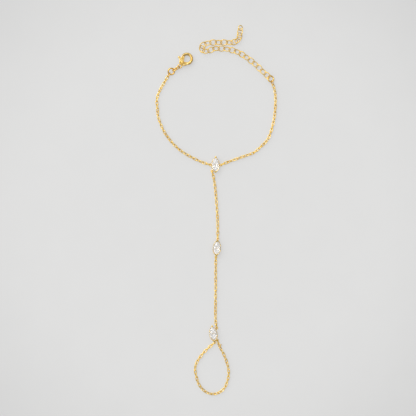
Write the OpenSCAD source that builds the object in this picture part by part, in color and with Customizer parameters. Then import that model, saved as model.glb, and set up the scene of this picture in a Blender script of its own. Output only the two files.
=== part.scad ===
// Hand chain bracelet: a wrist chain with a lobster clasp and an extender, three marquise
// stones in small settings, a hand chain between them and a finger loop below.
// It lies on the plane z = 0. The origin is the middle of the wrist setting's foot.

/* [Fine chain] */
// Outer width of a link
link_w = 1.65; // [1.55:0.05:1.75]
// Distance from one link to the next
link_pitch = 1.85; // [1.7:0.05:2.1]
// Wire of the links
link_wire = 0.42; // [0.38:0.01:0.44]
// Free space between two fine links that hang in each other
link_gap = 0.18; // [0.17:0.01:0.2]

/* [Extender] */
// Outer width of an extender link
ext_w = 3.5; // [3.3:0.05:3.7]
// Distance from one extender link to the next
ext_pitch = 3.0; // [2.8:0.05:3.3]
// Wire of the extender links
ext_wire = 0.46; // [0.4:0.01:0.48]
// How far the lying extender links lean, in turn to the left and to the right
ext_lean = 38; // [34:1:42]
// Outer diameter of the ring at the extender's end
ext_ring_d = 3.1; // [2.8:0.1:3.6]

/* [Rings and larger links] */
// Free space between two larger pieces that hang in each other
ring_gap = 0.18; // [0.17:0.01:0.22]
// Outer diameter of the two jump rings
jump_d = 4.1; // [3.8:0.1:4.6]
// Wire of the two jump rings
jump_wire = 0.73; // [0.6:0.01:0.78]
// How far the jump rings lean
jump_lean = 28; // [26:1:32]
// Outer length of the link between a fine chain and its jump ring
end_link_l = 3.0; // [2.8:0.1:3.4]
// Outer width of that link
end_link_w = 2.0; // [1.9:0.05:2.2]
// Wire of that link
end_link_wire = 0.42; // [0.36:0.01:0.45]
// Outer length of the two links before the clasp
clasp_link_l = 3; // [2.9:0.05:3.2]
// Outer width of the two links before the clasp
clasp_link_w = 2.45; // [2.4:0.05:2.6]
// Wire of the two links before the clasp
clasp_link_wire = 0.54; // [0.5:0.01:0.56]
// Outer diameter of the small tag ring on the finger loop
tag_d = 1.7; // [1.65:0.05:2]
// Wire of the small tag ring
tag_wire = 0.28; // [0.24:0.01:0.3]

/* [Stones] */
// Length of a marquise stone
stone_l = 8; // [7:0.1:9]
// Width of a marquise stone
stone_w = 4; // [3.6:0.1:4.6]
// Height of the crown, from girdle to table
crown_h = 0.6; // [0.5:0.05:0.8]
// Thickness of the girdle
girdle_h = 0.12; // [0.08:0.01:0.2]
// Depth of the pavilion, from girdle to culet
pavilion_h = 1.6; // [1.4:0.05:1.9]

/* [Settings] */
// Clearance between stone and metal
seat_gap = 0.05; // [0.04:0.01:0.08]
// Height of the foot rail and its bridge
foot_h = 0.5; // [0.4:0.05:0.6]
// Width of the foot rail and its bridge
foot_w = 0.5; // [0.4:0.05:0.6]
// How far the foot rail stands in from the stone's edge
foot_in = 0.15; // [0.05:0.05:0.3]
// Width of the ledge under the stone
ledge_w = 0.3; // [0.25:0.01:0.35]
// Height of the seat rail
seat_h = 0.5; // [0.4:0.05:0.7]
// Wall of the V claw around a stone's tip
claw_wall = 0.24; // [0.2:0.01:0.3]
// Length of the long V claw along the stone
claw_l = 3.0; // [2:0.1:3.4]
// Length of the short V claw along the stone
short_claw_l = 1.2; // [1:0.1:1.8]
// Diameter of the ball claw on a stone's tip
ball_d = 1.0; // [0.9:0.05:1.2]
// Diameter of the small side claws
side_claw_d = 0.5; // [0.44:0.02:0.56]
// Diameter of the posts between the rails
post_d = 0.6; // [0.5:0.05:0.7]
// Outer diameter of the soldered eyelets
eye_d = 1.55; // [1.5:0.05:1.75]
// Wire of the soldered eyelets
eye_wire = 0.38; // [0.32:0.01:0.4]

/* [Clasp] */
// Outer diameter of the clasp's hook
hook_d = 6.5; // [6.3:0.1:6.8]
// Diameter of the opening in the hook
hook_hole_d = 3.7; // [3.5:0.1:3.8]
// Thickness of the clasp
clasp_t = 2.4; // [2.2:0.1:2.8]
// Distance from the hook's centre to the clasp's eye
clasp_eye_u = 5.4; // [5.3:0.1:6]
// Outer diameter of the clasp's eye
clasp_eye_d = 2.55; // [2.5:0.05:2.65]
// Wire of the clasp's eye
clasp_eye_wire = 0.6; // [0.55:0.01:0.62]
// Distance from the hook's centre back to the lever's pin
pin_u = 3.2; // [3.1:0.05:3.4]
// Distance from the clasp's axis out to the lever's pin
pin_v = 0.7; // [0.6:0.05:0.8]
// Diameter of the pin
pin_d = 0.7; // [0.6:0.05:0.8]
// Running clearance all round the pin
pin_gap = 0.03; // [0.02:0.01:0.05]
// Radius of the lever's hub
hub_r = 1.0; // [0.9:0.05:1.05]
// Thickness of the lever
lever_t = 1.1; // [1:0.05:1.2]
// Clearance between lever and body
lever_gap = 0.12; // [0.1:0.01:0.14]
// Diameter of the lever's thumb ball
thumb_d = 1.24; // [1.1:0.02:1.3]

/* [Layout] */
// Turn of the wrist stone
wrist_turn = -1.5; // [-5:0.5:5]
// Place of the hand stone across the hand
hand_x = 0.7; // [0:0.1:1.5]
// Place of the hand stone along the hand
hand_y = -43.9; // [-45:0.1:-43]
// Turn of the hand stone
hand_turn = -5.7; // [-8:0.1:-3]
// Place of the finger stone across the hand
finger_x = -1.17; // [-2:0.01:-0.5]
// Place of the finger stone along the hand
finger_y = -89.2; // [-90:0.1:-88.5]
// Turn of the finger stone
finger_turn = 9; // [5:0.5:12]
// Place of the clasp's jump ring across the wrist
clasp_ring_x = -23.4; // [-24:0.1:-22.5]
// Place of the clasp's jump ring along the hand
clasp_ring_y = 49.4; // [48.5:0.1:50]
// Place of the extender's jump ring across the wrist
ext_ring_x = 29.2; // [28.5:0.1:30]
// Place of the extender's jump ring along the hand
ext_ring_y = 45.5; // [45:0.1:46.5]
// Turn of the clasp, from its eye to its nose
clasp_turn = 45; // [40:1:50]

/* [Hidden] */
gold = [0.86, 0.72, 0.43];
clear = [0.93, 0.94, 0.95];
wire_fn = 24;
round_fn = 48;
rail_fn = 180;

// Chosen points of each chain between the pieces that it hangs in, as it lies
wrist_left_points = [
    [-5.4, 0.8], [-9.8, 2.6], [-14, 4.8], [-18.4, 7.5], [-22.7, 11.5], [-26.8, 16.9], [-28.9, 21.3],
    [-30.4, 25.6], [-30.8, 30.4], [-31.1, 34.2], [-30.5, 37], [-28.9, 40.5]
];
wrist_right_points = [
    [5.7, 1.2], [10.3, 2.9], [15.7, 4.8], [20.2, 6.4], [23.3, 9], [27.3, 13], [29.2, 17.2],
    [30.6, 22.3], [31.4, 27.2], [31.7, 32.1], [31.7, 36.5], [31.2, 40]
];
hand_upper_points = [[-1.1, -6.1], [-0.3, -11], [0.5, -19.4], [1.1, -29.3], [1.2, -36]];
hand_lower_points = [[0.1, -53.2], [0.1, -61.6], [0, -71.4], [0, -81.3], [0.3, -84.6]];
finger_points = [
    [2.6, -97], [4.6, -100.7], [6.4, -105.9], [7, -110.1], [6.4, -113.9], [5.1, -117.5],
    [2.3, -120.3], [-1.6, -121.3], [-5.4, -120], [-8.7, -116.4], [-10.2, -111.8], [-10.8, -108],
    [-9.8, -104.3], [-5.9, -98.9]
];
extender_points = [
    [25.1, 49.2], [20.9, 53.3], [16.3, 56.9], [11.2, 59.9], [5.6, 61.3], [-0.7, 61.5], [-4.3, 60],
    [-7.4, 60.5], [-7.3, 63.1], [-4, 64.5], [2.5, 64.8], [8.2, 64.6], [10.6, 65], [12.3, 66.5],
    [12.9, 68.6], [12.7, 70.3], [13, 71.4]
];

// How the chains lie: the lean of a chain's first link, of its middle and of its last link, where
// 90 and 0 mean that the links in turn stand and lie, and 135 that all of them lean. The link in
// an eyelet leans to the side that suits the rest of its chain.
eye_roll = 113;
turned_roll = 135;
end_roll = 30;
settle_run = 9;
lift_run = 5;
wander = 14;
wander_run = 27;
shake = 5;
shake_turn = 137;
floor_gap = 0.06;
// The extender's last links lie crowded, at this distance
crowd = 4;
crowd_pitch = 2.3;
curve_steps = 8;

// Wire centre lines and inner radii
link_l = link_pitch + 2 * link_wire + link_gap;
ext_l = ext_pitch + 2 * ext_wire + ring_gap;
jump_in = jump_d / 2 - jump_wire;
ext_ring_in = ext_ring_d / 2 - ext_wire;
eye_in = eye_d / 2 - eye_wire;
clasp_eye_in = clasp_eye_d / 2 - clasp_eye_wire;

// Stone and seat levels
rim_r = (stone_l * stone_l + stone_w * stone_w) / (4 * stone_w);
rim_c = rim_r - stone_w / 2;
culet_gap = 0.15;
girdle_z = foot_h + culet_gap + pavilion_h;
crown_z = girdle_z + girdle_h;
table_z = crown_z + crown_h;
// Share of the girdle's width that the table takes
table_share = 0.54;
// Share of the girdle's width and of the crown's height where the star facets end
star_share = 0.8;
star_rise = 0.52;
// Share of the girdle's width and of the pavilion's depth where the lower halves end
lower_share = 0.56;
lower_drop = 0.46;
seat_drop = 1.2 * ledge_w * pavilion_h / (stone_w / 2) + seat_gap;
ledge_z = girdle_z - seat_drop;
// Height over the girdle where a tip claw and a side claw bend over the crown
tip_rise = 0.42 * crown_h + seat_gap;
side_rise = 0.3 * crown_h + seat_gap;
// A V claw's arms end this far over the crown's lower edge; its lip has this height and length
claw_edge = 0.05;
claw_lip = 0.2;
claw_over = 0.8;
side_claw_y = 0.19 * stone_l;
// Posts stand this far inside the stone's edge, and the wire of an eyelet sinks into its post
post_in = 0.05;
solder = 0.55;
eye_reach = post_d / 2 - post_in + eye_in + (1 - solder) * eye_wire;
// Height of an eyelet: a standing link hangs in its middle
eye_z = link_w / 2 + floor_gap;
// Where the eyelets sit along the stone's edge
wrist_eye_y = 0.0;
hand_eye_y = -0.36 * stone_l;
drop_eye_y = 0.27 * stone_l;
finger_eye_y = -0.4 * stone_l;

// Clasp levels and outline, with U along the clasp and V across it
hook_r = hook_d / 2;
hole_r = hook_hole_d / 2;
hook_wall = hook_r - hole_r;
hook_mid = (hook_r + hole_r) / 2;
// How wide the hook's slopes are towards its opening and outside, and how far they drop
slope_in = 0.6;
slope_out = 0.45;
slope_drop = 0.5;
clasp_z = clasp_t / 2 + floor_gap;
pin_at = [-pin_u, pin_v];
cheek_wall = 0.3;
cheek_r = hub_r + cheek_wall;
pin_fit = 0.01;
// The hook's arc starts at its root and runs round the nose to its tip
hook_root = -125;
hook_tip = 112;
// The lever's arm follows the same arc from its overlap at the tip to its root
lever_overlap = 40;
lever_root = 168;
// Both tips are cut round the pin, where the arc reaches this angle, so that the lever swings clear
tip_meet = 92;
tip_cut_r = norm(pin_at - hook_mid * unit(tip_meet));
lever_arm_w = hook_wall - 0.35;
lever_arm_in = hook_mid - lever_arm_w / 2;
// The base between hook and eye is thinner than the clasp, runs this far into the hook's root and
// stops short of the eye's hole
base_drop = 0.4;
base_lap = 0.2;
base_turn = 8;
base_stop = 0.12;
base_u = clasp_eye_u - clasp_eye_in - base_stop;
base_heel = pin_at - [0.4, 2.35];
// The thumb ball stands out from the pin, on a stem with two shoulders
thumb_at = pin_at + [0.9, 2.9];
stem_left = thumb_at - [0.35, 0.1];
stem_right = thumb_at + [0.3, -0.25];
// The lever turns by 18 degrees into the hook; the slot for it reaches down to this angle
swing_floor = -35;

// Curve through the chosen points, and places along it by length
function ease(x) = x <= 0 ? 0 : x >= 1 ? 1 : x * x * (3 - 2 * x);
function between(a, b, c, d, t) =
    0.5 * (2 * b + (c - a) * t + (2 * a - 5 * b + 4 * c - d) * t * t + (3 * b - a - 3 * c + d) * t * t * t);
function curve(p) = let (n = len(p) - 1) concat(
    [for (i = [0:n - 1], k = [0:curve_steps - 1]) between(
        i == 0 ? 2 * p[0] - p[1] : p[i - 1], p[i], p[i + 1],
        i == n - 1 ? 2 * p[n] - p[n - 1] : p[i + 2], k / curve_steps)],
    [p[n]]);
function lengths(c) = [for (i = 0, s = 0; i < len(c);
    s = s + (i + 1 < len(c) ? norm(c[i + 1] - c[i]) : 0), i = i + 1) s];
function along(c, run, s) =
    [for (axis = [0, 1]) lookup(s, [for (i = [0:len(c) - 1]) [run[i], c[i][axis]]])];
function flat(p) = [p[0], p[1]];
function turned(p, a) = [p[0] * cos(a) - p[1] * sin(a), p[0] * sin(a) + p[1] * cos(a)];
function heading(v) = atan2(v[1], v[0]);
function unit(a) = [cos(a), sin(a)];

// A chain is a list of joints and the roll of each link between two of them
function nearest_half_turn(a, b) = a + 180 * round((b - a) / 180);
function lying_z(w, wire, a, step) =
    (w - wire) / 2 * max(abs(sin(a)), abs(sin(a + step))) + wire / 2 + floor_gap;
function chain(start, via, end, pitch, w, wire, step, rolls, sway, jolt, crowded) =
    let (c = curve(concat([flat(start)], via, [flat(end)])), run = lengths(c), total = run[len(run) - 1],
        free = total - crowded * crowd_pitch, n_free = ceil(free / pitch - 0.001), n = n_free + crowded,
        place = function (k) k < n_free ? free * k / n_free : total - (n - k) * crowd_pitch,
        turn = 90 * ((n - 1) % 2),
        one_side = nearest_half_turn(rolls[2] - turn, rolls[1]),
        other_side = rolls[2] == eye_roll ? nearest_half_turn(180 - rolls[2] - turn, rolls[1]) : one_side,
        near_side = abs(other_side - rolls[1]) < abs(one_side - rolls[1]) ? other_side : one_side,
        last = step == 90 ? near_side : rolls[1],
        near = function (s, reach) ease(1 - s / reach),
        mid = function (s) (1 - near(s, settle_run)) * (1 - near(total - s, settle_run)),
        roll = function (s) rolls[1] + (rolls[0] - rolls[1]) * near(s, settle_run)
            + (last - rolls[1]) * near(total - s, settle_run)
            + sway * sin(360 * s / wander_run) * mid(s),
        joints = [for (k = [0:n]) let (s = place(k), p = along(c, run, s),
            a = near(s, lift_run), b = near(total - s, lift_run))
            [p[0], p[1], a * start[2] + b * end[2] + (1 - a - b) * lying_z(w, wire, roll(s), step)]])
    [joints, [for (k = [0:n - 1]) let (s = (place(k) + place(k + 1)) / 2)
        roll(s) + step * (k % 2) + jolt * sin(shake_turn * k) * mid(s)]];

// Joints of pieces that hang in a ring, which leans by tilt about the axis that points along turn
function on_ring(center, turn, tilt, toward, reach) =
    let (a = heading(toward - flat(center)) - turn)
    center + reach * [
        cos(a) * cos(turn) - sin(a) * cos(tilt) * sin(turn),
        cos(a) * sin(turn) + sin(a) * cos(tilt) * cos(turn),
        sin(a) * sin(tilt)];
function step_on(from, toward, span, z) =
    let (d = toward - flat(from), u = d / norm(d)) [from[0] + span * u[0], from[1] + span * u[1], z];

// The stone's edge, seen from above, and the eyelets soldered outside it
function edge_point(y, grow) = [sqrt(pow(rim_r + grow, 2) - y * y) - rim_c, y];
function edge_out(y, grow) = edge_point(y, grow) + [rim_c, 0];
function side_eye(y, side) =
    let (p = edge_point(y, 0) + edge_out(y, 0) / rim_r * eye_reach) [side * p[0], p[1]];
function tip_eye(end) = [0, end * (stone_l / 2 + eye_reach)];
wrist_at = [0, 0, wrist_turn];
hand_at = [hand_x, hand_y, hand_turn];
finger_at = [finger_x, finger_y, finger_turn];
function eye_at(at, p) = let (q = flat(at) + turned(p, at[2])) [q[0], q[1], eye_z];
function eye_joint(at, p, toward) =
    let (e = eye_at(at, p)) step_on(e, toward, eye_in - link_gap / 2, eye_z);

// Jump rings, end links and the joints on both sides of them
jump_z = (jump_d - jump_wire) / 2 * sin(jump_lean) + jump_wire / 2 + floor_gap;
jump_reach = jump_in - ring_gap / 2;
end_span = end_link_l - 2 * end_link_wire - ring_gap;
end_link_roll = end_roll - 90;
end_link_z = lying_z(end_link_w, end_link_wire, end_link_roll, 0) + 0.03;
clasp_span = clasp_link_l - 2 * clasp_link_wire - ring_gap;

clasp_ring = [clasp_ring_x, clasp_ring_y, jump_z];
clasp_ring_turn = 39;
clasp_side = wrist_left_points[len(wrist_left_points) - 1];
clasp_chain_joint = on_ring(clasp_ring, clasp_ring_turn, jump_lean, [-25.5, 47], jump_reach);
clasp_end_joint = step_on(clasp_chain_joint, clasp_side, end_span, end_link_z);

ext_ring = [ext_ring_x, ext_ring_y, jump_z];
ext_ring_turn = 115;
ext_side = wrist_right_points[len(wrist_right_points) - 1];
ext_chain_joint = on_ring(ext_ring, ext_ring_turn, jump_lean, [30.2, 43.1], jump_reach);
ext_end_joint = step_on(ext_chain_joint, ext_side, end_span, end_link_z);
ext_first_joint = on_ring(ext_ring, ext_ring_turn, jump_lean, extender_points[0], jump_reach);

// The two links before the clasp lean one way and the other, and the clasp follows them
clasp_link_rolls = [-50, 65];
clasp_link_turns = [28, 34];
clasp_first_joint = on_ring(clasp_ring, clasp_ring_turn, jump_lean,
    flat(clasp_ring) + unit(clasp_link_turns[0]), jump_reach);
clasp_mid_joint = step_on(clasp_first_joint,
    flat(clasp_first_joint) + unit(clasp_link_turns[0]), clasp_span, (jump_z + clasp_z) / 2);
clasp_last_joint = step_on(clasp_mid_joint,
    flat(clasp_mid_joint) + unit(clasp_link_turns[1]), clasp_span, clasp_z);
clasp_at = flat(clasp_last_joint)
    + (clasp_eye_in - ring_gap / 2 + clasp_eye_u) * unit(clasp_turn);

// The six chains as they hang between their joints
function fine(start, via, end, rolls) =
    chain(start, via, end, link_pitch, link_w, link_wire, 90, rolls, wander, shake, 0);
wrist_left = fine(eye_joint(wrist_at, side_eye(wrist_eye_y, -1), wrist_left_points[0]),
    wrist_left_points, clasp_end_joint, [eye_roll, turned_roll, end_roll]);
wrist_right = fine(eye_joint(wrist_at, side_eye(wrist_eye_y, 1), wrist_right_points[0]),
    wrist_right_points, ext_end_joint, [eye_roll, turned_roll, end_roll]);
hand_upper = fine(eye_joint(wrist_at, side_eye(hand_eye_y, -1), hand_upper_points[0]),
    hand_upper_points, eye_joint(hand_at, tip_eye(1), hand_upper_points[len(hand_upper_points) - 1]),
    [eye_roll, turned_roll, eye_roll]);
hand_lower = fine(eye_joint(hand_at, tip_eye(-1), hand_lower_points[0]), hand_lower_points,
    eye_joint(finger_at, side_eye(drop_eye_y, 1), hand_lower_points[len(hand_lower_points) - 1]),
    [eye_roll, turned_roll, eye_roll]);
finger_loop = fine(eye_joint(finger_at, side_eye(finger_eye_y, 1), finger_points[0]),
    finger_points, eye_joint(finger_at, tip_eye(-1), finger_points[len(finger_points) - 1]),
    [eye_roll, turned_roll, eye_roll]);
ext_stop = extender_points[len(extender_points) - 1];
extender = chain(ext_first_joint, [for (i = [0:len(extender_points) - 2]) extender_points[i]],
    [ext_stop[0], ext_stop[1], lying_z(ext_w, ext_wire, ext_lean, 0)],
    ext_pitch, ext_w, ext_wire, 2 * ext_lean, [-ext_lean, -ext_lean, -ext_lean], 0, 0, crowd);
ext_last = extender[0][len(extender[0]) - 1];
ext_ring_lean = len(extender[1]) % 2 == 0 ? -ext_lean : ext_lean;
ext_ring_way = 80;
ext_ring_at = ext_last + (ext_ring_in - ring_gap / 2) * concat(unit(ext_ring_way), 0);

// The tag ring hangs in the finger loop's second link and leans back along it
tag_link = 1;
tag_lean = 22;

// A wire ring lying flat round the origin
module ring(outer_d, wire) {
    rotate_extrude($fn = round_fn) translate([(outer_d - wire) / 2, 0]) circle(d = wire, $fn = wire_fn);
}

// An oval link lying flat, long way along X: two half rings and two straight wires
module link(outer_l, outer_w, wire) {
    bend = (outer_w - wire) / 2;
    straight = outer_l - outer_w;
    union() {
        for (half = [-90, 90]) rotate(half + 90) translate([straight / 2, 0, 0]) rotate(-90)
            rotate_extrude(angle = 180, $fn = round_fn) translate([bend, 0]) circle(d = wire, $fn = wire_fn);
        for (side = [-bend, bend]) translate([-straight / 2, side, 0])
            rotate([0, 90, 0]) cylinder(d = wire, h = straight, $fn = wire_fn);
    }
}

// Puts a link between two joints
module hang(a, b, roll) {
    v = b - a;
    translate((a + b) / 2) rotate([0, -atan2(v[2], norm([v[0], v[1]])), heading(v)]) rotate([roll, 0, 0])
        children();
}
module hung_chain(run, outer_l, outer_w, wire) {
    for (k = [0:len(run[1]) - 1])
        hang(run[0][k], run[0][k + 1], run[1][k]) link(outer_l, outer_w, wire);
}
module fine_chain(run) {
    color(gold) hung_chain(run, link_l, link_w, link_wire);
}

// A prism with the marquise outline, grown or shrunk all round
module marquise(grow, z, h) {
    intersection() {
        rim_disc(-1, grow, z, h);
        rim_disc(1, grow, z, h);
    }
}
module rim_disc(side, grow, z, h) {
    translate([side * rim_c, 0, z]) cylinder(r = rim_r + grow, h = h, $fn = rail_fn);
}

// The slab of space beyond a length y at one end of the stone
module tip_zone(end, y) {
    reach = stone_l;
    translate([-reach / 2, end > 0 ? y : -y - reach, 0]) cube([reach, reach, 2 * table_z]);
}

// A V claw: a thin wall round one end of the stone, with a lip over its tip
module v_claw(end, length) {
    grow = seat_gap + claw_wall;
    low = ledge_z - seat_h;
    lip_z = crown_z + tip_rise;
    difference() {
        union() {
            intersection() {
                marquise(grow, low, crown_z + claw_edge - low);
                tip_zone(end, stone_l / 2 - length);
            }
            intersection() {
                marquise(grow, low, lip_z + claw_lip - low);
                tip_zone(end, stone_l / 2 - claw_over);
            }
        }
        marquise(seat_gap, low - 1, lip_z - low + 1);
        marquise(-ledge_w, low - 1, table_z);
    }
}

// A round claw: a post with a ball that bends over the stone's edge
module ball_claw(p, d, post, rise) {
    ball_z = crown_z + rise;
    difference() {
        union() {
            translate([p[0], p[1], 0]) cylinder(d = post, h = ball_z, $fn = round_fn);
            translate([p[0], p[1], ball_z]) sphere(d = d, $fn = round_fn);
        }
        marquise(seat_gap, ledge_z, ball_z - ledge_z);
    }
}

// A setting at the origin: foot rail with bridge, seat rail, posts, claws and eyelets
module setting(eyes, posts, ball_end, claw_ends) {
    difference() {
        marquise(-foot_in, 0, foot_h);
        marquise(-foot_in - foot_w, -1, foot_h + 2);
    }
    translate([-stone_w / 2 + foot_in + foot_w / 2, -foot_w / 2, 0])
        cube([stone_w - 2 * foot_in - foot_w, foot_w, foot_h]);
    difference() {
        marquise(seat_gap + claw_wall / 2, ledge_z - seat_h, seat_h);
        marquise(-ledge_w, ledge_z - seat_h - 1, seat_h + 2);
    }
    for (p = posts) translate([p[0], p[1], 0]) cylinder(d = post_d, h = ledge_z, $fn = round_fn);
    for (e = eyes) translate([e[0], e[1], eye_z]) ring(eye_d, eye_wire);
    for (side = [-1, 1]) {
        p = edge_point(side_claw_y, 0);
        ball_claw([side * p[0], p[1]], side_claw_d, side_claw_d, side_rise);
    }
    if (ball_end != 0) ball_claw([0, ball_end * (stone_l / 2 + post_in)], ball_d, post_d, tip_rise);
    for (claw = claw_ends) v_claw(claw[0], claw[1]);
}
function side_post(y, side) = let (p = edge_point(y, -post_in)) [side * p[0], p[1]];
function tip_post(end) = [0, end * (stone_l / 2 - post_in)];
module at_setting(at) {
    translate([at[0], at[1], 0]) rotate(at[2]) children();
}

module setting_wrist() {
    color(gold) at_setting(wrist_at) setting(
        [side_eye(wrist_eye_y, -1), side_eye(wrist_eye_y, 1), side_eye(hand_eye_y, -1)],
        [side_post(wrist_eye_y, -1), side_post(wrist_eye_y, 1), side_post(hand_eye_y, -1), tip_post(-1)],
        1, [[-1, claw_l]]);
}
module setting_hand() {
    color(gold) at_setting(hand_at) setting([tip_eye(1), tip_eye(-1)], [tip_post(1), tip_post(-1)],
        0, [[1, short_claw_l], [-1, claw_l]]);
}
module setting_finger() {
    color(gold) at_setting(finger_at) setting(
        [side_eye(drop_eye_y, 1), side_eye(finger_eye_y, 1), tip_eye(-1)],
        [side_post(drop_eye_y, 1), side_post(finger_eye_y, 1), tip_post(-1)],
        1, [[-1, claw_l]]);
}

// A marquise brilliant: table, stars, kites, upper halves, girdle, lower halves and mains
module stone() {
    tip_angle = asin(stone_l / 2 / rim_r);
    edge = [for (i = [0:15]) let (a = tip_angle * (i % 8 - 4) / 4,
        side = i < 8 ? 1 : -1) side * [rim_r * cos(a) - rim_c, rim_r * sin(a)]];
    function level(share, z, odd) =
        [for (i = [0:7]) let (p = edge[2 * i + odd] * share) [p[0], p[1], z]];
    points = concat(
        level(table_share, table_z, 0),
        level(star_share, crown_z + crown_h * star_rise, 1),
        [for (p = edge) [p[0], p[1], crown_z]],
        [for (p = edge) [p[0], p[1], girdle_z]],
        level(lower_share, girdle_z - pavilion_h * lower_drop, 1),
        [[0, 0, girdle_z - pavilion_h]]);
    star = 8;
    upper = 16;
    lower = 32;
    half = 48;
    culet = 56;
    faces = concat(
        [for (i = [1:6]) [0, i + 1, i]],
        [for (i = [0:7], n = (i + 1) % 8, b = (i + 7) % 8, g = 2 * i, h = 2 * i + 1, k = (2 * i + 2) % 16)
            each [
                [i, n, star + i],
                [i, star + i, upper + g], [i, upper + g, star + b],
                [star + i, upper + h, upper + g], [star + i, upper + k, upper + h],
                [upper + g, upper + h, lower + h], [upper + g, lower + h, lower + g],
                [upper + h, upper + k, lower + k], [upper + h, lower + k, lower + h],
                [lower + g, lower + h, half + i], [lower + h, lower + k, half + i],
                [lower + g, half + i, culet], [lower + g, culet, half + b]
            ]]);
    polyhedron(points, faces);
}
module stone_wrist() { color(clear) at_setting(wrist_at) stone(); }
module stone_hand() { color(clear) at_setting(hand_at) stone(); }
module stone_finger() { color(clear) at_setting(finger_at) stone(); }

module wrist_chain_left() fine_chain(wrist_left);
module wrist_chain_right() fine_chain(wrist_right);
module hand_chain_upper() fine_chain(hand_upper);
module hand_chain_lower() fine_chain(hand_lower);
module finger_chain() fine_chain(finger_loop);

module finger_tag_ring() {
    reach = (tag_d - tag_wire) / 2;
    roll = finger_loop[1][tag_link];
    color(gold) hang(finger_loop[0][tag_link], finger_loop[0][tag_link + 1], nearest_half_turn(roll, 0))
        translate([0, reach, 0]) rotate([0, 90 - tag_lean, 0]) ring(tag_d, tag_wire);
}

module end_link_clasp() {
    color(gold) hang(clasp_end_joint, clasp_chain_joint, end_link_roll)
        link(end_link_l, end_link_w, end_link_wire);
}
module end_link_extender() {
    color(gold) hang(ext_end_joint, ext_chain_joint, end_link_roll)
        link(end_link_l, end_link_w, end_link_wire);
}
module jump_ring(center, turn) {
    color(gold) translate(center) rotate(a = jump_lean, v = concat(unit(turn), 0))
        ring(jump_d, jump_wire);
}
module jump_ring_clasp() jump_ring(clasp_ring, clasp_ring_turn);
module jump_ring_extender() jump_ring(ext_ring, ext_ring_turn);
module clasp_link_inner() {
    color(gold) hang(clasp_first_joint, clasp_mid_joint, clasp_link_rolls[0])
        link(clasp_link_l, clasp_link_w, clasp_link_wire);
}
module clasp_link_outer() {
    color(gold) hang(clasp_mid_joint, clasp_last_joint, clasp_link_rolls[1])
        link(clasp_link_l, clasp_link_w, clasp_link_wire);
}
module extender_chain() {
    color(gold) hung_chain(extender, ext_l, ext_w, ext_wire);
}
module extender_end_ring() {
    color(gold) translate(ext_ring_at)
        rotate(a = ext_ring_lean, v = concat(unit(ext_ring_way), 0)) ring(ext_ring_d, ext_wire);
}

// The clasp stands with its hook's centre at the origin and its eye at -U
module at_clasp() {
    translate([clasp_at[0], clasp_at[1], clasp_z]) rotate(clasp_turn) children();
}

// A bar bent round the hook's centre, with a wide slope to the opening and a smaller one outside
module hook_bar(from, to, wall, thick) {
    rotate(from) rotate_extrude(angle = to - from, $fn = rail_fn) translate([hook_mid, 0]) polygon([
        for (z = [1, -1], p = z > 0 ? [0, 1, 2, 3] : [3, 2, 1, 0])
            let (q = [[-wall / 2, slope_drop], [slope_in - wall / 2, 0], [wall / 2 - slope_out, 0],
                [wall / 2, slope_drop]][p])
            [q[0], z * (thick / 2 - q[1])]
    ]);
}
module round_plate(p, r, t) {
    translate([p[0], p[1], -t / 2]) cylinder(r = r, h = t, $fn = rail_fn);
}

module clasp_body() {
    base_t = clasp_t - base_drop;
    slot_t = lever_t + 2 * lever_gap;
    swing_r = tip_cut_r + lever_gap;
    color(gold) at_clasp() difference() {
        union() {
            difference() {
                hook_bar(hook_root, hook_tip, hook_wall, clasp_t);
                intersection() {
                    round_plate(pin_at, swing_r, 2 * clasp_t);
                    translate([-hook_r, 0, -clasp_t]) cube([hook_d, hook_d, 2 * clasp_t]);
                }
            }
            round_plate(pin_at, cheek_r, clasp_t);
            translate([0, 0, -base_t / 2]) linear_extrude(base_t) polygon([
                [-base_u, clasp_eye_wire], pin_at + cheek_r * unit(140),
                pin_at + cheek_r * unit(10), pin_at + cheek_r * unit(-40),
                (hole_r + base_lap) * unit(hook_root + base_turn),
                (hook_r - base_lap) * unit(hook_root + base_turn), base_heel, [-base_u, -clasp_eye_wire]
            ]);
            translate([-clasp_eye_u, 0, 0]) ring(clasp_eye_d, clasp_eye_wire);
        }
        round_plate(pin_at, hub_r + lever_gap, slot_t);
        intersection() {
            round_plate(pin_at, swing_r, slot_t);
            translate([pin_at[0], pin_at[1], -slot_t / 2]) rotate(swing_floor)
                translate([-hook_r, 0, 0]) cube([hook_d, hook_r, slot_t]);
        }
        translate([pin_at[0], pin_at[1], -clasp_t])
            cylinder(d = pin_d + 2 * pin_fit, h = 2 * clasp_t, $fn = round_fn);
    }
}

// The lever closes the hook: a hub on the pin, a bent arm up to the hook's tip and a thumb ball
module clasp_lever() {
    color(gold) at_clasp() difference() {
        union() {
            round_plate(pin_at, hub_r, lever_t);
            intersection() {
                union() {
                    rotate(hook_tip - lever_overlap)
                        rotate_extrude(angle = lever_root - hook_tip + lever_overlap, $fn = rail_fn)
                        translate([hook_mid, 0]) square([lever_arm_w, lever_t], center = true);
                    translate([0, 0, -lever_t / 2]) linear_extrude(lever_t) polygon([
                        lever_arm_in * unit(hook_tip - lever_overlap), hook_mid * unit(tip_meet),
                        hook_mid * unit(hook_tip), hook_mid * unit((hook_tip + lever_root) / 2),
                        hook_mid * unit(lever_root), lever_arm_in * unit(lever_root)
                    ]);
                }
                round_plate(pin_at, tip_cut_r, clasp_t);
            }
            translate([0, 0, -lever_t / 2]) linear_extrude(lever_t) polygon([
                pin_at + hub_r * unit(130), stem_left, stem_right,
                hook_mid * unit(128), hook_mid * unit(158), pin_at
            ]);
            translate([thumb_at[0], thumb_at[1], 0]) sphere(d = thumb_d, $fn = round_fn);
        }
        translate([pin_at[0], pin_at[1], -clasp_t])
            cylinder(d = pin_d + 2 * pin_gap, h = 2 * clasp_t, $fn = round_fn);
    }
}
module clasp_pin() {
    color(gold) at_clasp() translate([pin_at[0], pin_at[1], -clasp_t / 2])
        cylinder(d = pin_d, h = clasp_t, $fn = round_fn);
}

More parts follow.
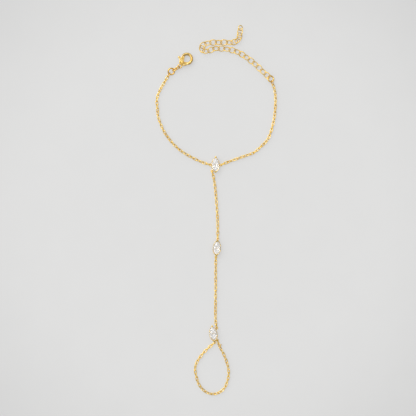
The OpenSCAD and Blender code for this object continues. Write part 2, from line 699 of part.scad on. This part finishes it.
setting_wrist();
stone_wrist();
setting_hand();
stone_hand();
setting_finger();
stone_finger();
wrist_chain_left();
wrist_chain_right();
hand_chain_upper();
hand_chain_lower();
finger_chain();
finger_tag_ring();
end_link_clasp();
jump_ring_clasp();
clasp_link_inner();
clasp_link_outer();
clasp_body();
clasp_lever();
clasp_pin();
end_link_extender();
jump_ring_extender();
extender_chain();
extender_end_ring();
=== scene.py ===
# %% [markdown]
# # A hand chain bracelet, seen from straight above
#
# The bracelet is one thin line of gold-coloured chain with three cut stones on it. The packed
# model already says where each link, setting and stone lies, so this lesson starts by loading
# it as a fixed frame. Everything after that gives the pieces finer shapes, real finishes, a
# floor, soft light and a camera.

# %% Load the frame
import math

import bmesh
import bpy
import numpy as np
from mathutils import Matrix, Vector


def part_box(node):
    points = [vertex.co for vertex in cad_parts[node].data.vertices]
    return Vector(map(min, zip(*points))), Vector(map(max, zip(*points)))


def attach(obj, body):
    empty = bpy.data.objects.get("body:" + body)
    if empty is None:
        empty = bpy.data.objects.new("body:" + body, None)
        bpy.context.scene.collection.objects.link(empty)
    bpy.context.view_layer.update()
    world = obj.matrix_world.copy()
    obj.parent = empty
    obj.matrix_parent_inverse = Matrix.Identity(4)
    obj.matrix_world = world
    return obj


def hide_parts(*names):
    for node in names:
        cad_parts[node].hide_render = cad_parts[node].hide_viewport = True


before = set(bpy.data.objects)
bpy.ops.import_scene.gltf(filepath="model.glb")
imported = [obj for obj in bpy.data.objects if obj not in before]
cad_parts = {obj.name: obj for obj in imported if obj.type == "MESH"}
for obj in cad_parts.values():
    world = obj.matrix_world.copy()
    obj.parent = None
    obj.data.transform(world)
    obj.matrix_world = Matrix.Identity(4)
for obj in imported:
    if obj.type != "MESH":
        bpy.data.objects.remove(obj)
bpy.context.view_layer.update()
MM = 0.001


# %% [markdown]
# ## Camera
#
# The photograph was taken from straight above with a long lens: the chain shows no
# perspective. A camera half a metre up does the same. Its focal length follows from the width
# of table that the picture has to show, so it is worked out instead of guessed.

# %% Camera
PICTURE_WIDTH = 220.5 * MM
PICTURE_CENTRE = (-3.98 * MM, -22.8 * MM)
CAMERA_HEIGHT = 520 * MM
SENSOR = 36.0

camera_data = bpy.data.cameras.new("camera")
camera_data.type = "PERSP"
camera_data.sensor_width = SENSOR
camera_data.lens = SENSOR * CAMERA_HEIGHT / PICTURE_WIDTH
camera_data.clip_start = 0.01
camera_data.clip_end = 10.0
camera = bpy.data.objects.new("camera", camera_data)
camera.location = (*PICTURE_CENTRE, CAMERA_HEIGHT)
bpy.context.collection.objects.link(camera)
bpy.context.scene.camera = camera
print("focal length", round(camera_data.lens, 1), "mm")

# %% [markdown]
# ## Writing shaders as sums
#
# A finish is a tree of nodes. Wiring it by hand hides what it works out, so one small class
# wraps an output socket and lets a mask be written as `1 - mask * 0.5`. Each operator adds one
# Math node, with the two sides in the order in which they are written.

# %% A value in a shader
class Value:
    """An output socket that can be added, subtracted and multiplied."""

    def __init__(self, finish, socket):
        self.finish, self.socket = finish, socket

    def math(self, operation, first, second):
        return self.finish.node("ShaderNodeMath", {"operation": operation}, {0: first, 1: second})

    def __add__(self, other):
        return self.math("ADD", self, other)

    def __radd__(self, other):
        return self.math("ADD", other, self)

    def __sub__(self, other):
        return self.math("SUBTRACT", self, other)

    def __rsub__(self, other):
        return self.math("SUBTRACT", other, self)

    def __mul__(self, other):
        return self.math("MULTIPLY", self, other)

    def __rmul__(self, other):
        return self.math("MULTIPLY", other, self)


print("sums, differences and products of values are ready")

# %% [markdown]
# ## One method for every other node
#
# A second class holds a material, or the world, and adds any other kind of node in one call:
# first its settings, such as a ramp's stops, and then the numbers and links of its sockets.
# The settings come first because some of them decide which sockets are used.

# %% A finish
class Finish:
    """A material or the world, and one method that adds a node to it."""

    def __init__(self, owner, ending="ShaderNodeOutputMaterial"):
        owner.use_nodes = True
        self.owner, self.tree = owner, owner.node_tree
        self.tree.nodes.clear()
        self.end = self.tree.nodes.new(ending)

    def node(self, kind, settings=None, sockets=None, output=0):
        made = self.tree.nodes.new(kind)
        for key, value in (settings or {}).items():
            if key == "stops":
                stops = made.color_ramp.elements
                while len(stops) < len(value):
                    stops.new(1.0)
                for stop, (place, level) in zip(stops, value):
                    stop.position, stop.color = place, (level, level, level, 1.0)
            else:
                setattr(made, key, value)
        for key, value in (sockets or {}).items():
            if isinstance(value, Value):
                self.tree.links.new(value.socket, made.inputs[key])
            else:
                made.inputs[key].default_value = value
        return Value(self, made.outputs[output])

    def close(self, shader):
        self.tree.links.new(shader.socket, self.end.inputs["Surface"])
        return self.owner


print("a finish can be given to a material or to the world")

# %% [markdown]
# ## Three steps that every finish uses
#
# Spots of a known size, a rise from one level to another, and a mix of two colours come back
# in every finish. Their nodes count their sockets: a Mix node, for one, keeps its two colours
# in sockets 6 and 7. Three short functions say that once, so that the finishes below read as
# a list of what can be seen on the metal, the stones and the table.

# %% Spots, rises and mixes
def spots(finish, place, grain, detail):
    """Noise whose spots are about one grain wide, in metres."""
    return finish.node("ShaderNodeTexNoise", {}, {
        "Vector": place, "Scale": 1 / grain, "Detail": detail})


def rise(finish, value, low, high, most=1.0, kind="LINEAR"):
    """0 up to where the value is low, and the most from where it is high."""
    return finish.node("ShaderNodeMapRange", {"clamp": True, "interpolation_type": kind},
                       {0: value, 1: low, 2: high, 3: 0.0, 4: most})


def mix(finish, share, first, second, kind="MIX"):
    """The first colour where the share is 0, and the second where it is 1."""
    return finish.node("ShaderNodeMix", {"data_type": "RGBA", "blend_type": kind},
                       {0: share, 6: first, 7: second}, output=2)


print("spots, rises and mixes are ready")

# %% [markdown]
# ## Gold-coloured plating
#
# The metal is thin polished plating on a copper alloy: pale where it mirrors the window and
# brown where it mirrors the room. One flat colour would look like plastic, so three things
# break it up. Patches of deeper and paler gold stand for plating of uneven thickness, fine
# polishing lines scatter the shine, and edges that rub are brighter. An image could hold all
# that, but it would need an unwrapped mesh. Noise in object space needs none, and its size is
# set in fractions of a millimetre. Chain and settings are plated pale, rings and the cast clasp
# are warmer, and the extender is satin: a part of its light is scattered, as if it weren't
# metal, so its round links show even outlines.

# %% Gold tones
FINE_GOLD = ((0.69, 0.41, 0.035, 1.0), (0.90, 0.68, 0.23, 1.0))
CAST_GOLD = ((0.54, 0.305, 0.035, 1.0), (0.82, 0.61, 0.25, 1.0))
RING_GOLD = ((0.60, 0.34, 0.04, 1.0), (0.80, 0.52, 0.13, 1.0))
LINK_GOLD = ((0.64, 0.39, 0.03, 1.0), (0.75, 0.52, 0.11, 1.0))
WORN_GOLD = (1.0, 0.80, 0.38, 1.0)
print("gold tones, deep and pale", len((FINE_GOLD, CAST_GOLD, RING_GOLD, LINK_GOLD)))

# %% [markdown]
# ## How the gold is mixed
#
# A coarse noise, sharpened into patches, and a fine one of specks choose between the deep and
# the pale tone. Pointiness is high on edges that stick out, and brings the worn tone there.
# The same noises make the shine uneven, and a Bump node cuts lines and specks a few
# thousandths of a millimetre deep. One function does this for all five golds, because they
# differ only in tone, in polish and in the size of their patches, and the satin one in how
# much of it is metal.

# %% Gold finish
PATCH_FROM, PATCH_TO = 0.38, 0.62  # where the noise turns from a deep patch to a pale one
PATCH_SHARE = 0.75  # of the tone; specks have the rest
SPECK = 0.12 * MM
LINE = 0.03 * MM
LINE_STRETCH = (1.0, 0.16, 0.5)  # polishing draws the spots out into lines
LINE_STRENGTH, SPECK_HEIGHT = 0.35, 0.8
EDGE_FROM, EDGE_TO, MOST_WORN = 0.5, 0.62, 0.55  # a flat place has a pointiness of 0.5
SHINE_BASE, SHINE_SWING, WORN_SHINE = 0.55, 0.45, 0.05


def gold_finish(name, tones, roughness, line_depth, patch=1.6 * MM, metal=1.0):
    finish = Finish(bpy.data.materials.new(name))
    place = finish.node("ShaderNodeTexCoord", output="Object")
    clouds = spots(finish, place, patch, 3.0)
    patches = rise(finish, clouds, PATCH_FROM, PATCH_TO)
    drawn_out = finish.node("ShaderNodeVectorMath", {"operation": "MULTIPLY"},
                            {0: place, 1: LINE_STRETCH})
    lines = spots(finish, drawn_out, LINE, 2.0)
    specks = spots(finish, place, SPECK, 2.0)
    pointiness = finish.node("ShaderNodeNewGeometry", output="Pointiness")
    worn = rise(finish, pointiness, EDGE_FROM, EDGE_TO, MOST_WORN)
    tone = mix(finish, patches * PATCH_SHARE + specks * (1 - PATCH_SHARE), *tones)
    colour = mix(finish, worn, tone, WORN_GOLD)
    uneven = SHINE_BASE + clouds * SHINE_SWING + lines * SHINE_SWING
    shine = roughness * uneven - worn * WORN_SHINE
    bump = finish.node("ShaderNodeBump", {}, {
        "Strength": LINE_STRENGTH, "Distance": line_depth, "Height": lines + specks * SPECK_HEIGHT})
    return finish.close(finish.node("ShaderNodeBsdfPrincipled", {}, {
        "Base Color": colour, "Metallic": metal, "Roughness": shine, "Normal": bump}))


gold_chain = gold_finish("gold, fine chain", FINE_GOLD, 0.18, 0.004 * MM)
gold_ring = gold_finish("gold, polished rings", RING_GOLD, 0.2, 0.003 * MM)
gold_extender = gold_finish("gold, satin extender", LINK_GOLD, 0.42, 0.004 * MM, metal=0.6)
gold_clasp = gold_finish("gold, tumbled clasp", CAST_GOLD, 0.27, 0.005 * MM, patch=1.5 * MM)
gold_setting = gold_finish("gold, bright settings", FINE_GOLD, 0.15, 0.002 * MM, patch=1.2 * MM)
print("gold finishes", len([m for m in bpy.data.materials if m.name.startswith("gold,")]))

# %% [markdown]
# ## Clear stones
#
# The stones are cut like marquise brilliants and read as bright white with light grey facets.
# The full index of a diamond look-alike turns their tips black here, because so short a
# render can't follow the many reflections inside. So the index is lower, a part of the
# surface lets the table shine through, and a part scatters light, which with a trace of glow
# stands for the light that the facets would send back. Each facet must stay flat, so the
# stones are never smoothed.

# %% Stone finish
STONE_INDEX = 1.75
STONE_SHADES = ((0.86, 0.865, 0.87, 1.0), (0.91, 0.905, 0.895, 1.0))
HAZE, SMEAR = 0.9 * MM, 0.15 * MM
POLISHED, SMEARED = 0.02, 0.03
CLEAR_SHARE = 0.68
COVER = 0.72
TRACE_OF_GLOW = 0.02


def stone_finish(name):
    finish = Finish(bpy.data.materials.new(name))
    place = finish.node("ShaderNodeTexCoord", output="Object")
    shade = mix(finish, spots(finish, place, HAZE, 3.0), *STONE_SHADES)
    smear = spots(finish, place, SMEAR, 2.0)
    return finish.close(finish.node("ShaderNodeBsdfPrincipled", {}, {
        "Base Color": shade, "Roughness": POLISHED + smear * SMEARED, "IOR": STONE_INDEX,
        "Transmission Weight": CLEAR_SHARE, "Alpha": COVER,
        "Emission Color": (1.0, 1.0, 1.0, 1.0), "Emission Strength": TRACE_OF_GLOW}))


stone_clear = stone_finish("stone, clear and faceted")
print("stone index", STONE_INDEX)

# %% [markdown]
# ## From mesh data to a piece
#
# Each piece is made from lists of points and faces, in metres and in the frame's own
# coordinates, so nothing has to be moved afterwards. It rides on a body of the frame and
# stands for the node that it replaces. All of these pieces are metal: the stones are the
# frame's own.

# %% Add a piece
def add_piece(name, points, faces, material, node, body="bracelet"):
    mesh = bpy.data.meshes.new(name)
    mesh.from_pydata([tuple(p) for p in points], [], [tuple(f) for f in faces])
    mesh.validate()
    mesh.shade_smooth()
    mesh.materials.append(material)
    piece = bpy.data.objects.new(name, mesh)
    bpy.context.collection.objects.link(piece)
    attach(piece, body)
    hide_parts(node)
    return piece


print("metal nodes to replace", len([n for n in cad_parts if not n.startswith("stone")]))

# %% [markdown]
# ## Telling links apart
#
# A chain is one node of many loose links, and each link has to be measured by itself. Corners
# that lie on each other are made one, and then every link is gathered by walking along its
# edges from corner to corner. That needs no list of links, so it holds for any chain.

# %% Links of a node
JOIN_WITHIN = 0.0005 * MM


def joined(mesh):
    """A copy of a mesh in which corners that lie on each other are one."""
    shape = bmesh.new()
    shape.from_mesh(mesh)
    bmesh.ops.remove_doubles(shape, verts=shape.verts, dist=JOIN_WITHIN)
    return shape


def islands(node):
    """The separate solids of a node, each as an array of its corners."""
    shape = joined(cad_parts[node].data)
    found, seen = [], set()
    for start in shape.verts:
        if start in seen:
            continue
        group, queue = [], [start]
        seen.add(start)
        while queue:
            here = queue.pop()
            group.append(here.co[:])
            for edge in here.link_edges:
                other = edge.other_vert(here)
                if other not in seen:
                    seen.add(other)
                    queue.append(other)
        found.append(np.array(group))
    shape.free()
    return found


print("fine chain on the left has", len(islands("wrist_chain_left")), "links")

# %% [markdown]
# ## Measuring a link
#
# A link is a round wire bent into an oval and soldered shut. The frame's links are coarse, and
# each lies its own way in the chain. A link is longer than it is wide, and wider than it is
# thick, so the three main directions of its corners are its long, wide and thin one. They give
# its middle and its size too, so nothing has to be said about how the chain was laid.

# %% Measure a link
CENTRING_ROUNDS = 3


def measured(corners):
    """Middle, directions and half sizes of a link, from its corners."""
    middle = (corners.min(axis=0) + corners.max(axis=0)) / 2
    for _ in range(CENTRING_ROUNDS):
        spread = corners - middle
        directions = np.linalg.svd(spread, full_matrices=False)[2]
        along = spread @ directions.T
        middle = middle + ((along.max(axis=0) + along.min(axis=0)) / 2) @ directions
    half = np.abs((corners - middle) @ directions.T).max(axis=0)
    return middle, directions, half


fine_link = measured(islands("wrist_chain_left")[0])[2]
print("a fine link in mm", [round(2 * float(half) / MM, 2) for half in fine_link])

# %% [markdown]
# ## The way of the wire
#
# Smoothing the coarse link would shrink it, so its wire is laid again, with more steps: round
# two half circles and along two straight sides. At each place there is a ring of corners, and
# faces between one ring and the next make the wire. A curve with a bevel would give a wire
# too, but it couldn't be rubbed flat on its inside alone.

# %% Oval and tube
LINK_STEPS, LINK_SIDES = 12, 14
STRAIGHT_STEPS = 5


def oval(half_long, half_wide, steps):
    """Places round two straight sides and two half circles, with outward directions."""
    straight, bend = half_long - half_wide, half_wide
    turns = []
    for side in (1, -1):
        for k in range(steps + 1):
            angle = math.pi * (k / steps - 0.5)
            out = np.array([side * math.cos(angle), side * math.sin(angle)])
            turns.append((np.array([side * straight, 0.0]) + bend * out, out))
        for k in range(1, STRAIGHT_STEPS):
            share = 1 - 2 * k / STRAIGHT_STEPS
            place = np.array([side * straight * share, side * bend])
            turns.append((place, np.array([0.0, float(side)])))
    return turns


def tube_faces(rings, sides, closed=False):
    """Faces between rings of corners. A closed tube runs back into its first ring."""
    faces = []
    for r in range(rings if closed else rings - 1):
        for k in range(sides):
            n, m = (r + 1) % rings, (k + 1) % sides
            faces.append((r * sides + k, n * sides + k, n * sides + m, r * sides + m))
    return faces


print("rings of corners round a fine link", len(oval(2.0, 1.0, LINK_STEPS)))

# %% [markdown]
# ## Solder and wear
#
# The solder joint is a slight swelling in the middle of one long side, and pulling has
# flattened the wire a little inside both ends, where links rub. Both are about a hundredth of
# a millimetre. The side that is soldered is drawn at random, so that a chain doesn't look
# printed, and the draws come from a seed, so that each run gives the same chain.

# %% Sweep a link
SWELLING, SWELLING_REACH = 0.06, 0.8  # in half thicknesses of the wire
RUBBED_FLAT, RUBBED_FROM = 0.04, 0.6


def sweep_link(corners, rng, steps=LINK_STEPS, sides=LINK_SIDES, swelling=SWELLING):
    middle, directions, half = measured(corners)
    wire = half[2]
    turns = oval(half[0] - wire, half[1] - wire, steps)
    joint_at = np.array([0.0, half[1] - wire]) * rng.choice([-1, 1])
    points = []
    for place, out in turns:
        from_joint = np.linalg.norm(place - joint_at) / (SWELLING_REACH * wire)
        thicker = 1 + swelling * math.exp(-(from_joint ** 2))
        at_end = max(0.0, abs(out[0]) - RUBBED_FROM) / (1 - RUBBED_FROM)
        for k in range(sides):
            angle = 2 * math.pi * k / sides
            inside = math.cos(angle) < 0
            across = math.cos(angle) * (thicker - RUBBED_FLAT * at_end * inside)
            up = math.sin(angle) * thicker
            local = np.array([*(place + out * across * wire), up * wire])
            points.append(middle + local @ directions)
    return points, tube_faces(len(turns), sides, closed=True)


fine_wire = fine_link[2] / MM
print("a solder joint stands out by", round(float(SWELLING * fine_wire), 3), "mm")

# %% [markdown]
# ## The chains
#
# Each node of links becomes one piece. Five fine chains, the extender, its end ring, the tag
# ring and the single links beside the clasp and the extender are made by the same call.
# Larger links get more steps, because their bends are seen better.

# %% All chains
FINE_CHAINS = ["wrist_chain_left", "wrist_chain_right", "hand_chain_upper",
               "hand_chain_lower", "finger_chain"]
SINGLE_LINKS = ["end_link_clasp", "end_link_extender", "clasp_link_inner", "clasp_link_outer"]


def add_links(name, node, material, seed, **detail):
    rng = np.random.default_rng(seed)
    points, faces = [], []
    for corners in islands(node):
        new_points, new_faces = sweep_link(corners, rng, **detail)
        faces += [tuple(i + len(points) for i in f) for f in new_faces]
        points += new_points
    add_piece(name, points, faces, material, node)
    print(name, "faces", len(faces))


for seed, chain in enumerate(FINE_CHAINS):
    add_links(chain + "_links", chain, gold_chain, seed)
add_links("extender_links", "extender_chain", gold_extender, seed=11,
          steps=20, sides=18, swelling=0.05)
add_links("extender_end_ring_wire", "extender_end_ring", gold_extender, seed=12,
          steps=24, sides=18)
add_links("finger_tag_wire", "finger_tag_ring", gold_ring, seed=13, steps=18)
for seed, link in enumerate(SINGLE_LINKS, start=20):
    add_links(link + "_wire", link, gold_ring, seed, steps=18, sides=18)

# %% [markdown]
# ## Jump rings
#
# A jump ring isn't soldered: it is a turn of thick wire whose two cut ends are pressed
# together. The fine line of the cut is what tells it from a cast ring, so the wire is swept
# almost all the way round and both ends are closed with a small chamfer.

# %% Split rings
CUT = 0.035 * MM
CHAMFER = [(0.0, 0.0), (0.0, 0.78), (0.06, 0.93), (0.16, 1.0)]  # way from the cut, thickness
RING_STEPS, RING_SIDES = 72, 20


def split_ring(name, node, cut_at):
    middle, directions, half = measured(islands(node)[0])
    wire = half[2]
    radius = half[0] - wire
    chamfer = [(way * wire / radius, size) for way, size in CHAMFER]
    runs = chamfer + [(2 * math.pi * k / RING_STEPS, 1.0) for k in range(1, RING_STEPS)]
    runs += [(2 * math.pi - CUT / radius - way, size) for way, size in reversed(chamfer)]
    points = []
    for way, size in runs:
        out = np.array([math.cos(way + cut_at), math.sin(way + cut_at)])
        for k in range(RING_SIDES):
            angle = 2 * math.pi * k / RING_SIDES
            across, up = math.cos(angle) * wire * size, math.sin(angle) * wire * size
            points.append(middle + np.array([*(out * (radius + across)), up]) @ directions)
    add_piece(name, points, tube_faces(len(runs), RING_SIDES), gold_ring, node)
    print(name, "outer radius", round((radius + wire) / MM, 2), "wire", round(2 * wire / MM, 2))


split_ring("clasp_jump_ring", "jump_ring_clasp", math.radians(120))
split_ring("extender_jump_ring", "jump_ring_extender", math.radians(200))

# %% [markdown]
# ## Cast and soldered pieces
#
# The settings and the clasp are cast or soldered, then tumbled, so every edge is round and
# every joint has a small fillet. Rebuilding a copy of the node's shape from fine cubes
# (a voxel remesh) and relaxing it a few times gives both at once, which bevelling edge by edge
# can't do where a ball meets a rail.

# %% Tumbled copies
RELAX_FACTOR = 0.5


def tumbled(name, node, material, grain, relax, body="bracelet"):
    shape = joined(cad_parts[node].data)
    mesh = bpy.data.meshes.new(name)
    shape.to_mesh(mesh)
    shape.free()
    cast = bpy.data.objects.new(name, mesh)
    bpy.context.collection.objects.link(cast)
    fine = cast.modifiers.new("fine", "REMESH")
    fine.mode, fine.voxel_size = "VOXEL", grain
    soft = cast.modifiers.new("soft", "SMOOTH")
    soft.factor, soft.iterations = RELAX_FACTOR, relax
    worked_out = cast.evaluated_get(bpy.context.evaluated_depsgraph_get())
    finished = bpy.data.meshes.new_from_object(worked_out)
    bpy.data.objects.remove(cast)
    points = [v.co[:] for v in finished.vertices]
    faces = [tuple(p.vertices) for p in finished.polygons]
    add_piece(name, points, faces, material, node, body)
    print(name, "faces", len(faces))


for place in ("wrist", "hand", "finger"):
    tumbled(f"{place}_setting_cast", f"setting_{place}", gold_setting, 0.05 * MM, 4)
tumbled("clasp_body_cast", "clasp_body", gold_clasp, 0.07 * MM, 5)
tumbled("clasp_lever_cast", "clasp_lever", gold_clasp, 0.055 * MM, 4, body="lever")

# %% [markdown]
# ## The clasp's rivet
#
# The lever turns on a rivet whose two heads stand out a little from the cheeks. It is turned
# on a lathe, so its shape is a short profile spun round the pin's axis.

# %% Rivet
RIVET_HEAD = 0.06 * MM
RIVET_SIDES = 40
RIVET_DOME = [(0.0, 1.0), (0.45, 0.85), (0.8, 0.4), (0.97, 0.0)]  # out of the axis, up the head


def rivet(name, node):
    low, high = (np.array(c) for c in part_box(node))
    middle, radius = (low + high) / 2, (high[0] - low[0]) / 2
    half = (high[2] - low[2]) / 2
    upper = [(out * radius, half + up * RIVET_HEAD) for out, up in RIVET_DOME]
    waist = (upper[-1][0], 0.0)
    profile = upper + [waist] + [(r, -z) for r, z in reversed(upper)]
    points = []
    for r, z in profile:
        for k in range(RIVET_SIDES):
            angle = 2 * math.pi * k / RIVET_SIDES
            points.append(middle + np.array([r * math.cos(angle), r * math.sin(angle), z]))
    faces = tube_faces(len(profile), RIVET_SIDES)
    piece = add_piece(name, points, faces, gold_ring, node)
    shape = joined(piece.data)
    shape.to_mesh(piece.data)
    shape.free()
    print(name, "radius", round(radius / MM, 2))


rivet("clasp_rivet", "clasp_pin")

# %% [markdown]
# ## The stones
#
# The frame's stones already have every facet of a marquise brilliant, so they stay as they
# are, with flat facets and sharp edges. A swept or remeshed stone would lose both. Only their
# finish is new.

# %% Stones
for place in ("wrist", "hand", "finger"):
    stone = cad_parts[f"stone_{place}"]
    stone.data.materials.clear()
    stone.data.materials.append(stone_clear)
    print(stone.name, "facets", len(stone.data.polygons))

# %% [markdown]
# ## Floor
#
# The bracelet lies on a plain pale surface that shows hardly any shadow, as on the lit table
# of a product photographer. Lamps alone can't do that, so this floor reflects some of its
# light and gives the rest off by itself. The picture gets a little darker in its corners, and
# so does the floor's glow.

# %% Floor finish
PAPER_SHADES = ((0.155, 0.155, 0.154, 1.0), (0.17, 0.17, 0.169, 1.0))
PAPER_CLOUD = 1 / 60
GLOW = 0.52
GLOW_SHADES = ((1.0, 1.0, 0.995, 1.0), (0.76, 0.76, 0.76, 1.0))  # in the middle, far out
FADE_FROM, FADE_TO = 0.085, 0.21

floor_finish = Finish(bpy.data.materials.new("floor, pale paper"))
on_floor = floor_finish.node("ShaderNodeTexCoord", output="Object")
paper = mix(floor_finish, spots(floor_finish, on_floor, PAPER_CLOUD, 4.0), *PAPER_SHADES)
from_middle = floor_finish.node("ShaderNodeVectorMath", {"operation": "LENGTH"},
                                {0: on_floor}, output=1)
fade = rise(floor_finish, from_middle, FADE_FROM, FADE_TO, kind="SMOOTHSTEP")
floor_material = floor_finish.close(floor_finish.node("ShaderNodeBsdfPrincipled", {}, {
    "Base Color": paper, "Roughness": 0.9, "Specular IOR Level": 0.1,
    "Emission Color": mix(floor_finish, fade, *GLOW_SHADES), "Emission Strength": GLOW}))
print("the floor glows by", GLOW, "and fades from", FADE_FROM, "to", FADE_TO, "m")

# %% [markdown]
# ## Laying the floor
#
# The floor is one large square just below the chain, so that no underside lies exactly in it.
# It isn't part of the bracelet, so it rides on no body.

# %% Floor
FLOOR_SIZE = 1.6
BELOW_CHAIN = 0.01 * MM

far = FLOOR_SIZE / 2
floor_corners = [(-far, -far, 0), (far, -far, 0), (far, far, 0), (-far, far, 0)]
floor_mesh = bpy.data.meshes.new("floor")
floor_mesh.from_pydata(floor_corners, [], [(0, 1, 2, 3)])
floor_mesh.materials.append(floor_material)
floor = bpy.data.objects.new("floor", floor_mesh)
floor.location = (*PICTURE_CENTRE, -BELOW_CHAIN)
bpy.context.collection.objects.link(floor)
print("floor", FLOOR_SIZE, "m wide")

# %% [markdown]
# ## Lamps
#
# A key lamp by the window makes the small sparks on the links, and a wide weak one opens the
# other side. Both are wide discs, because a small hard lamp would cast a sharp shadow, and the
# photograph shows hardly any.

# %% Lamps
def lamp(name, place, size, power, colour):
    data = bpy.data.lights.new(name, "AREA")
    data.shape, data.size, data.energy, data.color = "DISK", size, power, colour
    made = bpy.data.objects.new(name, data)
    made.location = place
    aim = Vector((*PICTURE_CENTRE, 0.0)) - Vector(place)
    made.rotation_euler = aim.to_track_quat("-Z", "Y").to_euler()
    bpy.context.collection.objects.link(made)


lamp("key", (-0.45, 0.42, 0.9), 0.7, 3.4, (1.0, 0.985, 0.96))
lamp("fill", (0.6, -0.35, 0.8), 0.9, 0.3, (0.97, 0.985, 1.0))
print("lamps", len(bpy.data.lights))

# %% [markdown]
# ## The room
#
# Polished metal shows what stands round it, so the room matters more than the lamps. A window
# to the upper left gives every wire a bright side, the walls away from it are dark and give
# it a dark side, and the lens overhead is a dark disc that flat tops mirror. The room is
# worked out from directions, which is simpler than building walls.

# %% Room
WINDOW_WAY = (-0.55, 0.48, 0.68)
WALL_LIGHT = 2.1
WALL_STOPS = [(0.0, 0.16), (0.5, 0.21), (0.74, 0.5), (0.95, 1.0)]  # away from the window, to it
LENS_STOPS = [(0.93, 1.0), (0.985, 0.26)]  # beside the lens, straight up

world = Finish(bpy.data.worlds.new("studio"), "ShaderNodeOutputWorld")
bpy.context.scene.world = world.owner
direction = world.node("ShaderNodeTexCoord", output="Generated")
toward_window = world.node("ShaderNodeVectorMath", {"operation": "DOT_PRODUCT"},
                           {0: direction, 1: WINDOW_WAY}, output=1)
height = world.node("ShaderNodeSeparateXYZ", {}, {"Vector": direction}, output=2)
walls = world.node("ShaderNodeValToRGB", {"stops": WALL_STOPS},
                   {"Fac": toward_window * 0.5 + 0.5})
lens_shade = world.node("ShaderNodeValToRGB", {"stops": LENS_STOPS}, {"Fac": height})
sky = mix(world, 1.0, walls, lens_shade, kind="MULTIPLY")
world.close(world.node("ShaderNodeBackground", {}, {"Color": sky, "Strength": WALL_LIGHT}))
bpy.context.scene.view_settings.view_transform = "Standard"
print("the room's window lies towards", WINDOW_WAY)
